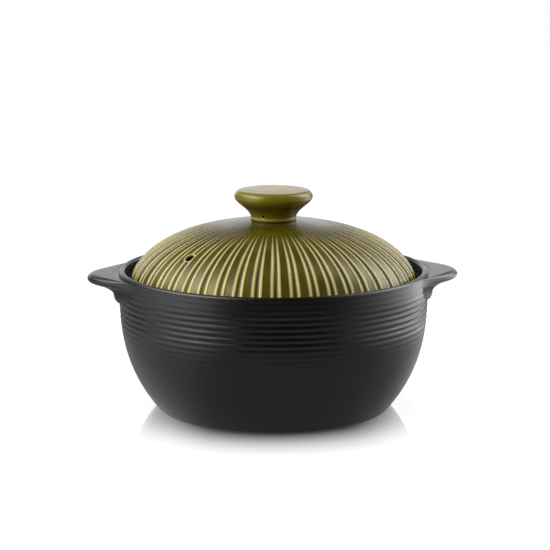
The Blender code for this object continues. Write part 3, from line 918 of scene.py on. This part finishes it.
def bowl_rows(sizes):
    """Outline of the bowl from the middle of its floor round to its base, with zones."""
    lip_inner = sizes.belly_radius - sizes.lip_width
    mouth = lip_inner - sizes.gallery_width
    seat = sizes.rim_height - sizes.gallery_depth
    cove = seat - sizes.gallery_lip - sizes.gallery_cove
    crown = sizes.rim_height - sizes.lip_crown
    gallery = softened(
        [
            (liner_radius(sizes, cove), cove, 0.0),
            (mouth, seat - sizes.gallery_lip, GALLERY_FOOT_ROUNDING),
            (mouth, seat, SEAT_EDGE_ROUNDING),
            (lip_inner, seat, SEAT_CORNER_ROUNDING),
            (lip_inner, crown - LIP_STRIP, 0.0),
            (lip_inner, crown, 0.0),
        ]
    )[1:-1]
    middle = (lip_inner + sizes.lip_width / 2, crown)
    lip = arc(middle, sizes.lip_width / 2, sizes.lip_crown, 180.0, 0.0, LIP_STEPS)
    low = sizes.rim_height - sizes.ring_drop - sizes.ring_count * sizes.ring_pitch
    wall = rows_along(skin_radius, sizes, crown, low, RINGED_ROWS)
    wall += rows_along(skin_radius, sizes, low, sizes.base_rounding, LOWER_ROWS)
    foot = sizes.base_radius - sizes.foot_width
    base = softened(
        [
            (*wall[-1], 0.0),
            (sizes.base_radius - BASE_INSET * sizes.base_rounding, 0.0, BASE_EDGE_ROUNDING),
            (foot, 0.0, FOOT_ROUNDING),
            (foot - sizes.foot_recess, sizes.foot_recess, FOOT_ROUNDING),
            (0.0, sizes.foot_recess, 0.0),
        ]
    )[1:]
    inside = bowl_inside(sizes, cove)
    return {"liner": inside, "gallery": gallery, "lip": lip, "wall": wall, "foot": base}


def zone_rows(zones):
    """The rows of all zones, one after another."""
    return [row for rows in zones.values() for row in rows]


def zone_mask(zones, *marked):
    """One number a row: 1 in the marked zones, or nought."""
    return [float(zone in marked) for zone, rows in zones.items() for _ in rows]


def lug_section(bowl, sizes, angle):
    """Outline of a lug in the (radius, height) plane at an angle, and the shade painted on each point of
    it.
    """
    bell = (1.0 + cos(pi * angle / sizes.spread)) / 2
    fade = cos(pi / 2 * angle / sizes.spread)
    aside = abs(angle) / sizes.spread
    reach = blend(-sizes.end_depth, sizes.reach, bell**sizes.taper)
    thick = blend(sizes.thickness, sizes.end_thickness, aside)
    top = bowl.rim_height - sizes.drop
    bottom = top - thick
    web = bottom - sizes.web_fall * fade
    root = bottom - sizes.web_fall - sizes.root_depth * fade
    knuckle = blend(web, root, sizes.knuckle)
    proud = min(blend(-sizes.end_depth, sizes.root_proud, fade**2), LUG_ROOT_SHARE * reach)
    rounding = max(LUG_LEAST_ROUNDING, min(sizes.tip_rounding, LUG_TIP_SHARE * reach))
    middle = (top + bottom) / 2
    tip = (skin_radius(bowl, middle) + reach - rounding, middle)

    wall = []
    for i in range(LUG_WALL_STEPS + 1):
        height = blend(root, top - sizes.seam_depth, i / LUG_WALL_STEPS)
        wall.append((skin_radius(bowl, height) - sizes.embed, height))
    foot = (skin_radius(bowl, root) - sizes.end_depth, root)
    edge = skin_radius(bowl, top) + min(0.0, reach)
    seam = max(0.0, min(sizes.seam_width, LUG_SEAM_SHARE * reach))
    lowered = top - sizes.seam_depth * min(1.0, seam / sizes.seam_width)
    crest = min(edge + seam, tip[0] - LUG_CREST_GAP)
    turn = (blend(min(edge, crest), crest, 0.5), lowered)
    upper = [(edge - LUG_SEAM_INSET, lowered)]
    upper += bend(upper[0], turn, (crest, top), CORNER_STEPS)
    upper += [(blend(crest, tip[0], i / LUG_TOP_STEPS), top) for i in range(LUG_TOP_STEPS)]
    around = arc(tip, rounding, thick / 2, 90.0, -90.0, LUG_TIP_STEPS)
    out = skin_radius(bowl, knuckle) + proud
    under = bend(around[-1], (out, web), (out, knuckle), LUG_WEB_STEPS) + [(out, knuckle)]
    under += bend((out, knuckle), (foot[0] + proud, root), foot, LUG_ROOT_STEPS) + [foot]
    corner = aside**LUG_CORNER_POWER
    # Painted shade: a bell along the underside, growing towards the lug's ends.
    painted_shade = [0.0] * len(wall + upper + around)
    for i in range(len(under)):
        beneath = sin(pi * min(1.0, i / LUG_SHADE_POINTS))
        painted_shade.append(blend(beneath, LUG_CORNER_SHADE, corner))
    return wall + upper + around + under, painted_shade


def lug_mesh(bowl, sizes, name):
    """Lug lofted from sections along the rim, closed at both ends, with painted shade under it."""
    mesh = bmesh.new()
    rows = []
    painted_shades = []
    for i in range(LUG_SECTIONS):
        angle = blend(-sizes.spread, sizes.spread, i / (LUG_SECTIONS - 1))
        outline, painted_shade = lug_section(bowl, sizes, angle)
        rows.append([mesh.verts.new((r * cos(angle), r * sin(angle), z)) for r, z in outline])
        painted_shades += painted_shade
    for first, second in zip(rows, rows[1:]):
        for i in range(len(first)):
            j = (i + 1) % len(first)
            mesh.faces.new((first[i], first[j], second[j], second[i]))
    mesh.faces.new(rows[0])
    mesh.faces.new(rows[-1])
    # The painted shade goes on the hollow mask.
    data = mesh_data(name, mesh, {"hollow": painted_shades})
    data.set_sharp_from_angle(angle=SHARP_ANGLE)
    return data


def dome_height(sizes, seat, radius, rim, wall=0.0):
    """Height of a dome of the lid's form over its seat, less a wall at the top."""
    part = min(1.0, radius / rim)
    shoulder = (1.0 - part**sizes.shoulder_spread) ** (1.0 / sizes.shoulder_rounding)
    crown = 1.0 - part**sizes.crown_spread
    full = sizes.crown_rise + sizes.shoulder_rise
    rise = sizes.crown_rise * crown + sizes.shoulder_rise * shoulder
    return seat + rise * (1.0 - wall / full)


def lid_levels(bowl, sizes):
    """Edge radius, seat height and skirt radii of the lid."""
    lip_inner = bowl.belly_radius - bowl.lip_width
    seat = bowl.rim_height - bowl.gallery_depth + sizes.seat_gap
    skirt = lip_inner - bowl.gallery_width - sizes.skirt_play
    return lip_inner - sizes.play, seat, skirt, skirt - sizes.skirt_width


def lid_rows(bowl, sizes, knob):
    """Outline of the lid from the middle of its top round to its hollow, with zones."""
    rim, seat, skirt, inner = lid_levels(bowl, sizes)
    crown = knob.foot_radius + sizes.seat_gap
    radii = [crown]
    for i in range(1, LID_ROWS + 1):
        radii.append(blend(crown, LID_EDGE_SHARE * rim, sin(pi / 2 * i / LID_ROWS)))
    top = [(radius, dome_height(sizes, seat, radius, rim)) for radius in radii]
    small = sizes.edge_rounding
    edge = softened([(*top[-1], 0.0), (rim, seat, small), (skirt, seat, 0.0)])[1:-1]
    foot = seat - sizes.skirt_depth
    skirt_rows = softened(
        [
            (rim, seat, 0.0),
            (skirt, seat, SKIRT_ROUNDING),
            (skirt, foot, small),
            (inner, foot, small),
            (inner, seat, 0.0),
        ]
    )[1:]
    radii = [inner * cos(pi / 2 * i / HOLLOW_ROWS) for i in range(1, HOLLOW_ROWS)] + [0.0]
    hollow = [(radius, dome_height(sizes, seat, radius, inner, sizes.thickness)) for radius in radii]
    return {"top": [(0.0, top[0][1])] + top, "edge": edge, "skirt": skirt_rows, "hollow": hollow}


def knob_rows(sizes):
    """Outline of the knob from the middle of its top round to its hollow."""
    foot = sizes.foot_height
    widest = foot + sizes.neck_height
    overhang = sizes.radius - sizes.top_radius
    top = widest + sizes.cap_height
    rows = [(out * sizes.top_radius, top + up * sizes.crown) for out, up in KNOB_TOP_CURVE]
    rows += arc((sizes.top_radius, widest), overhang, sizes.cap_height, 90.0, 0.0, CAP_STEPS)
    for i in range(1, NECK_ROWS + 1):
        part = i / NECK_ROWS
        flare = (1.0 - cos(pi * (1.0 - part) ** sizes.neck_flare)) / 2
        height = blend(widest, foot, part)
        low = max(0.0, 1.0 - (height - foot) / sizes.collar_height)
        upper_edge = min(1.0, COLLAR_TOP_EASE * low)
        lower_edge = min(1.0, COLLAR_FOOT_EASE * (1.0 - low) + COLLAR_FOOT_SHARE)
        radius = blend(sizes.foot_radius, sizes.radius, flare)
        rows.append((radius + sizes.collar * upper_edge * lower_edge, height))
    bore_radius = sizes.foot_radius - sizes.wall
    ceiling = top - sizes.wall
    rows += [
        (bore_radius, foot),
        (bore_radius, foot + 2 * sizes.vent_height),
        (sizes.radius - 2 * sizes.wall, widest - sizes.wall / 2),
        (sizes.top_radius - sizes.wall, ceiling),
        (0.0, ceiling),
    ]
    return rows


def knob_masks(sizes, rows):
    """Thin glaze on collar and top, partly painted sheen on the top, pooled glaze with painted shade in
    the neck and under the cap, painted light over the whole knob and a painted shadow at the seam, row
    by row.
    """
    masks = {"glaze_thin": [], "glaze_pool": [], "knob_painted_light": [], "hollow": []}
    for radius, height in rows:
        up = height - sizes.foot_height
        outside = radius >= sizes.foot_radius - KNOB_SLACK
        collar = outside and COLLAR_THIN_START < up < sizes.collar_height
        flat = up > sizes.neck_height + KNOB_FLAT_SHARE * sizes.cap_height
        # Pooled glaze with painted shade in the neck and under the cap.
        pool = sum(most * within(up, middle, reach) for middle, reach, most in KNOB_POOLS_AND_SHADE)
        # Thin glaze on the collar; on the top it is partly painted sheen.
        masks["glaze_thin"].append(COLLAR_THIN if collar else KNOB_TOP_THIN_AND_SHEEN if flat else 0.0)
        masks["glaze_pool"].append(pool if outside else 0.0)
        # Painted light over the whole knob.
        masks["knob_painted_light"].append(1.0)
        # Painted shadow at the knob's foot, where it meets the lid.
        masks["hollow"].append(KNOB_SEAM_SHADOW if up < KNOB_SEAM_HEIGHT else 0.0)
    return masks


# Stage


def world_light(fill):
    """Even light, stronger from high behind, with white for the camera and studio for gloss."""
    world = bpy.data.worlds.new("studio")
    world.use_nodes = True
    bpy.context.scene.world = world
    graph = Graph(world.node_tree)
    background = world.node_tree.nodes["Background"]
    background.inputs["Color"].default_value = (1.0, 1.0, 1.0, 1.0)
    path = graph.add("ShaderNodeLightPath").outputs
    ways = graph.add("ShaderNodeTexCoord").outputs["Generated"]
    tone = graph.add("ShaderNodeGroup", {"Direction": ways}, node_tree=tone_group())
    gloss = path["Is Glossy Ray"]
    toward = graph.vector("DOT_PRODUCT", ways, FILL_WAY)
    level = graph.ramp(toward, *FILL_SPAN, FILL_FRONT * fill, FILL_BACK * fill)
    even = graph.product(graph.math("SUBTRACT", 1.0, gloss), level)
    seen = graph.math("MULTIPLY_ADD", gloss, tone.outputs["Tone"], even)
    graph.feed(background.inputs["Strength"], graph.math("MAXIMUM", seen, path["Is Camera Ray"]))


def floor_glow(graph, path, place, out):
    """White floor for the camera, and for gloss the studio's low tone that it stands in."""
    tone = graph.add("ShaderNodeGroup", {"Direction": place}, node_tree=tone_group())
    far = graph.ramp(out, *FLOOR_FAR_SPAN)
    pale = graph.ramp(far, 0.0, 1.0, *FLOOR_PALE)
    matt = graph.add("ShaderNodeBsdfDiffuse", {"Color": pale}).outputs[0]
    seen = graph.product(path["Is Camera Ray"], graph.ramp(out, *FLOOR_SEEN_SPAN))
    close = graph.math("MULTIPLY_ADD", far, -FLOOR_CLOSE_TONE, FLOOR_CLOSE_TONE)
    grown = graph.math("POWER", far, FLOOR_TONE_POWER)
    spread = graph.math("MULTIPLY_ADD", grown, 1.0 - FLOOR_LEAST_TONE, FLOOR_LEAST_TONE)
    beside = graph.math("MULTIPLY_ADD", tone.outputs["Low"], spread, close)
    strength = graph.math("MULTIPLY_ADD", path["Is Glossy Ray"], beside, seen)
    glow = graph.add("ShaderNodeEmission", {"Strength": strength}).outputs[0]
    return graph.add("ShaderNodeAddShader", {0: matt, 1: glow}).outputs[0]


def floor_material(settings, foot_radius):
    """White floor that keeps the pot's shadow and a reflection that fades outward."""
    material, graph, shader = new_material("white_floor")
    material.node_tree.nodes.remove(shader)
    path = graph.add("ShaderNodeLightPath").outputs
    place = graph.add("ShaderNodeTexCoord").outputs["Object"]
    out = graph.vector("LENGTH", place)
    plain = floor_glow(graph, path, place, out)
    mirror = graph.add("ShaderNodeBsdfGlossy", {"Roughness": FLOOR_ROUGHNESS}).outputs[0]
    fall = graph.add(
        "ShaderNodeMapRange",
        {0: out, 1: foot_radius, 2: foot_radius + FLOOR_MIRROR_REACH, 3: 1.0, 4: 0.0},
    ).outputs[0]
    across = graph.math("ABSOLUTE", graph.add("ShaderNodeSeparateXYZ", {0: place}).outputs[0])
    shine = settings.shine
    side = graph.ramp(across, FLOOR_SIDE_START, foot_radius, shine, FLOOR_SIDE_SHARE * shine)
    near = graph.product(graph.math("POWER", fall, FLOOR_MIRROR_POWER), side, path["Is Camera Ray"])
    both = graph.add("ShaderNodeMixShader", {0: near, 1: plain, 2: mirror}).outputs[0]
    graph.feed(material.node_tree.nodes["Material Output"].inputs["Surface"], both)
    return material


def add_floor(material):
    """Flat floor under the pot."""
    corners = [(x * FLOOR_HALF, y * FLOOR_HALF, 0.0) for x, y in ((-1, -1), (1, -1), (1, 1), (-1, 1))]
    data = bpy.data.meshes.new("floor")
    data.from_pydata(corners, [], [(0, 1, 2, 3)])
    floor = new_piece("floor", data, material)


def add_lamp(name, watts, size, position):
    """Rectangular studio lamp aimed at the pot, which gloss doesn't mirror."""
    lamp = bpy.data.lights.new(name, "AREA")
    lamp.shape = "RECTANGLE"
    lamp.size, lamp.size_y = size
    lamp.energy = watts
    holder = bpy.data.objects.new(name, lamp)
    bpy.context.scene.collection.objects.link(holder)
    holder.location = position
    holder.rotation_euler = (Vector(LAMP_AIM) - Vector(position)).to_track_quat("-Z", "Y").to_euler()
    holder.visible_camera = False
    holder.visible_glossy = False


def add_camera(settings):
    """Camera at the photograph's viewing angle."""
    data = bpy.data.cameras.new("camera")
    data.lens = settings.lens
    camera = bpy.data.objects.new("camera", data)
    bpy.context.scene.collection.objects.link(camera)
    turn, up = settings.azimuth, settings.elevation
    away = Vector((sin(turn) * cos(up), -cos(turn) * cos(up), sin(up)))
    camera.location = away * settings.distance
    camera.rotation_euler = (pi / 2 - settings.pitch, 0.0, turn - settings.yaw)
    bpy.context.scene.camera = camera


# Operators


class POT_OT_bowl(bpy.types.Operator):
    """Turn the bowl and cut its rings"""

    bl_idname = "pot.make_bowl"
    bl_label = "Make Bowl"
    bl_options = {"REGISTER", "UNDO"}

    def execute(self, context):
        """Turned bowl with its rings, liner and bare foot."""
        scene = context.scene
        sizes = scene.pot_bowl
        zones = bowl_rows(sizes)
        rows = zone_rows(zones)
        standing = zone_mask(zones, "foot", "wall")
        masks = {
            "outer_skin": zone_mask(zones, "wall"),
            "liner": zone_mask(zones, "liner"),
            # Painted shade on the gallery inside the lip.
            "hollow": zone_mask(zones, "gallery"),
            "bare_clay": [within(row[1], 0.0, BARE_FOOT_HEIGHT) * on for row, on in zip(rows, standing)],
        }
        bowl = new_piece("casserole_bowl", turned_mesh("casserole_bowl", rows, BOWL_TURNS, masks))
        run_tree(
            bowl,
            ring_tree(),
            {
                "Top": sizes.rim_height - sizes.ring_drop,
                "Pitch": sizes.ring_pitch,
                "Count": sizes.ring_count,
                "Depth": sizes.ring_depth,
                "Fade": sizes.ring_fade,
                "Wander": sizes.ring_wander,
                "Seed": RING_SEED,
                "Material": stoneware_material(scene.pot_finish),
            },
        )
        settle(bowl)
        bowl.data.set_sharp_from_angle(angle=SHARP_ANGLE)
        place(bowl, "pot", "pot_body", "charcoal_stoneware")
        return {"FINISHED"}


class POT_OT_lugs(bpy.types.Operator):
    """Model the two lugs and let them into the wall"""

    bl_idname = "pot.make_lugs"
    bl_label = "Make Lugs"
    bl_options = {"REGISTER", "UNDO"}

    def execute(self, context):
        """Right lug, and the same turned half round for the left."""
        scene = context.scene
        material = stoneware_material(scene.pot_finish)
        for name, node, turned in (("right_lug", "right_handle", 0.0), ("left_lug", "left_handle", pi)):
            data = lug_mesh(scene.pot_bowl, scene.pot_lugs, name)
            data.transform(Matrix.Rotation(turned, 4, "Z"))
            lug = new_piece(name, data, material)
            place(lug, "pot", node, "charcoal_stoneware")
        return {"FINISHED"}


class POT_OT_lid(bpy.types.Operator):
    """Turn the lid, cut its flutes and bore its steam hole"""

    bl_idname = "pot.make_lid"
    bl_label = "Make Lid"
    bl_options = {"REGISTER", "UNDO"}

    def execute(self, context):
        """Fluted dome with its steam hole, skirt and hollow."""
        scene = context.scene
        bowl, sizes = scene.pot_bowl, scene.pot_lid
        zones = lid_rows(bowl, sizes, scene.pot_knob)
        rows = zone_rows(zones)
        outside = zone_mask(zones, "top", "edge")
        _, seat, _, _ = lid_levels(bowl, sizes)
        skin = []
        seam = []
        for (radius, height), on in zip(rows, outside):
            rise = (height - seat - sizes.edge_rounding) / FLUTE_FOOT_HEIGHT
            beside_knob = max(0.0, 1.0 - (radius - scene.pot_knob.foot_radius) / LID_SEAM_WIDTH)
            skin.append(max(0.0, min(1.0, rise)) * on)
            # Painted shadow on the lid round the knob's foot.
            seam.append(LID_SEAM_SHADOW * beside_knob * on)
        masks = {"outer_skin": skin, "bare_clay": zone_mask(zones, "skirt"), "hollow": seam}
        turns = TURNS_PER_FLUTE * sizes.flute_count
        lid = new_piece("fluted_lid", turned_mesh("fluted_lid", rows, turns, masks))
        run_tree(
            lid,
            flute_tree(),
            {
                "Count": sizes.flute_count,
                "Turn": sizes.turn + sizes.flute_phase,
                "Half Width": sizes.flute_half,
                "Depth": sizes.flute_depth,
                "Rise": sizes.flute_rise,
                "Start": sizes.flute_start,
                "Run-in": sizes.flute_run_in,
                "Seed": FLUTE_SEED,
                "Material": glaze_material(scene.pot_finish),
            },
        )
        settle(lid)
        self.bore_steam_hole(lid, bowl, sizes)
        place(lid, "lid", "lid", "olive_glaze")
        return {"FINISHED"}

    def bore_steam_hole(self, lid, bowl, sizes):
        """Hole square to the shoulder of the lid."""
        rim, seat, _, _ = lid_levels(bowl, sizes)
        radius = sizes.hole_radius
        height = dome_height(sizes, seat, radius, rim)
        fall = dome_height(sizes, seat, radius - MM, rim) - height
        turned = Matrix.Rotation(sizes.turn, 3, "Z")
        center = turned @ Vector((radius, 0.0, height))
        outward = turned @ Vector((fall, 0.0, MM))
        thick = sizes.thickness
        bore(lid, "steam_hole", sizes.hole_diameter / 2, center, outward, 3 * thick, thick)


class POT_OT_knob(bpy.types.Operator):
    """Turn the knob and bore its vent"""

    bl_idname = "pot.make_knob"
    bl_label = "Make Knob"
    bl_options = {"REGISTER", "UNDO"}

    def execute(self, context):
        """Hollow knob with its glazed collar and vent."""
        scene = context.scene
        sizes = scene.pot_knob
        rows = knob_rows(sizes)
        data = turned_mesh("mushroom_knob", rows, KNOB_TURNS, knob_masks(sizes, rows))
        data.set_sharp_from_angle(angle=SHARP_ANGLE)
        knob = new_piece("mushroom_knob", data, glaze_material(scene.pot_finish))
        angle = scene.pot_lid.turn + sizes.vent_turn
        outward = Vector((cos(angle), sin(angle), 0.0))
        center = outward * sizes.foot_radius + Vector((0.0, 0.0, sizes.foot_height + sizes.vent_height))
        bore(knob, "vent", sizes.vent_diameter / 2, center, outward, 2 * sizes.wall, sizes.wall)
        place(knob, "lid", "lid_knob", "olive_glaze")
        return {"FINISHED"}


class POT_OT_stage(bpy.types.Operator):
    """Set the floor, the lamps and the camera"""

    bl_idname = "pot.make_stage"
    bl_label = "Make Stage"
    bl_options = {"REGISTER", "UNDO"}

    def execute(self, context):
        """White floor, two lamps, even fill and the camera."""
        scene = context.scene
        settings = scene.pot_stage
        scene.view_settings.view_transform = "Standard"
        world_light(settings.fill)
        add_floor(floor_material(settings, scene.pot_bowl.base_radius))
        add_lamp("left_lamp", settings.left_power, LEFT_LAMP_SIZE, LEFT_LAMP_PLACE)
        add_lamp("right_lamp", settings.right_power, RIGHT_LAMP_SIZE, RIGHT_LAMP_PLACE)
        add_camera(settings)
        return {"FINISHED"}


OPERATORS = (POT_OT_bowl, POT_OT_lugs, POT_OT_lid, POT_OT_knob, POT_OT_stage)
PANEL_GROUPS = (
    ("pot_bowl", "pot_finish"),
    ("pot_lugs",),
    ("pot_lid",),
    ("pot_knob",),
    ("pot_stage",),
)


class POT_PT_panel(bpy.types.Panel):
    """Buttons and sizes of the pot"""

    bl_idname = "POT_PT_panel"
    bl_label = "Casserole Pot"
    bl_space_type = "VIEW_3D"
    bl_region_type = "UI"
    bl_category = "Pot"

    def draw(self, context):
        """One button for each operator, over its settings."""
        for operator, groups in zip(OPERATORS, PANEL_GROUPS):
            box = self.layout.box()
            box.operator(operator.bl_idname)
            for group in groups:
                settings = getattr(context.scene, group)
                for name in settings.bl_rna.properties.keys():
                    if name not in ("rna_type", "name"):
                        box.prop(settings, name)


SETTINGS = {
    "pot_bowl": BowlSizes,
    "pot_lugs": LugSizes,
    "pot_lid": LidSizes,
    "pot_knob": KnobSizes,
    "pot_finish": FinishColors,
    "pot_stage": StageSettings,
}


def register():
    """Register the classes and hang their settings on the scene."""
    for kind in (*SETTINGS.values(), *OPERATORS, POT_PT_panel):
        bpy.utils.register_class(kind)
    for name, kind in SETTINGS.items():
        setattr(bpy.types.Scene, name, PointerProperty(type=kind))


def unregister():
    """Take everything back in reverse order."""
    for name in SETTINGS:
        delattr(bpy.types.Scene, name)
    for kind in (POT_PT_panel, *reversed(OPERATORS), *reversed(SETTINGS.values())):
        bpy.utils.unregister_class(kind)


def main():
    """Build the pot on its stage."""
    register()
    bpy.ops.pot.make_bowl()
    bpy.ops.pot.make_lugs()
    bpy.ops.pot.make_lid()
    bpy.ops.pot.make_knob()
    bpy.ops.pot.make_stage()


if __name__ == "__main__":
    main()
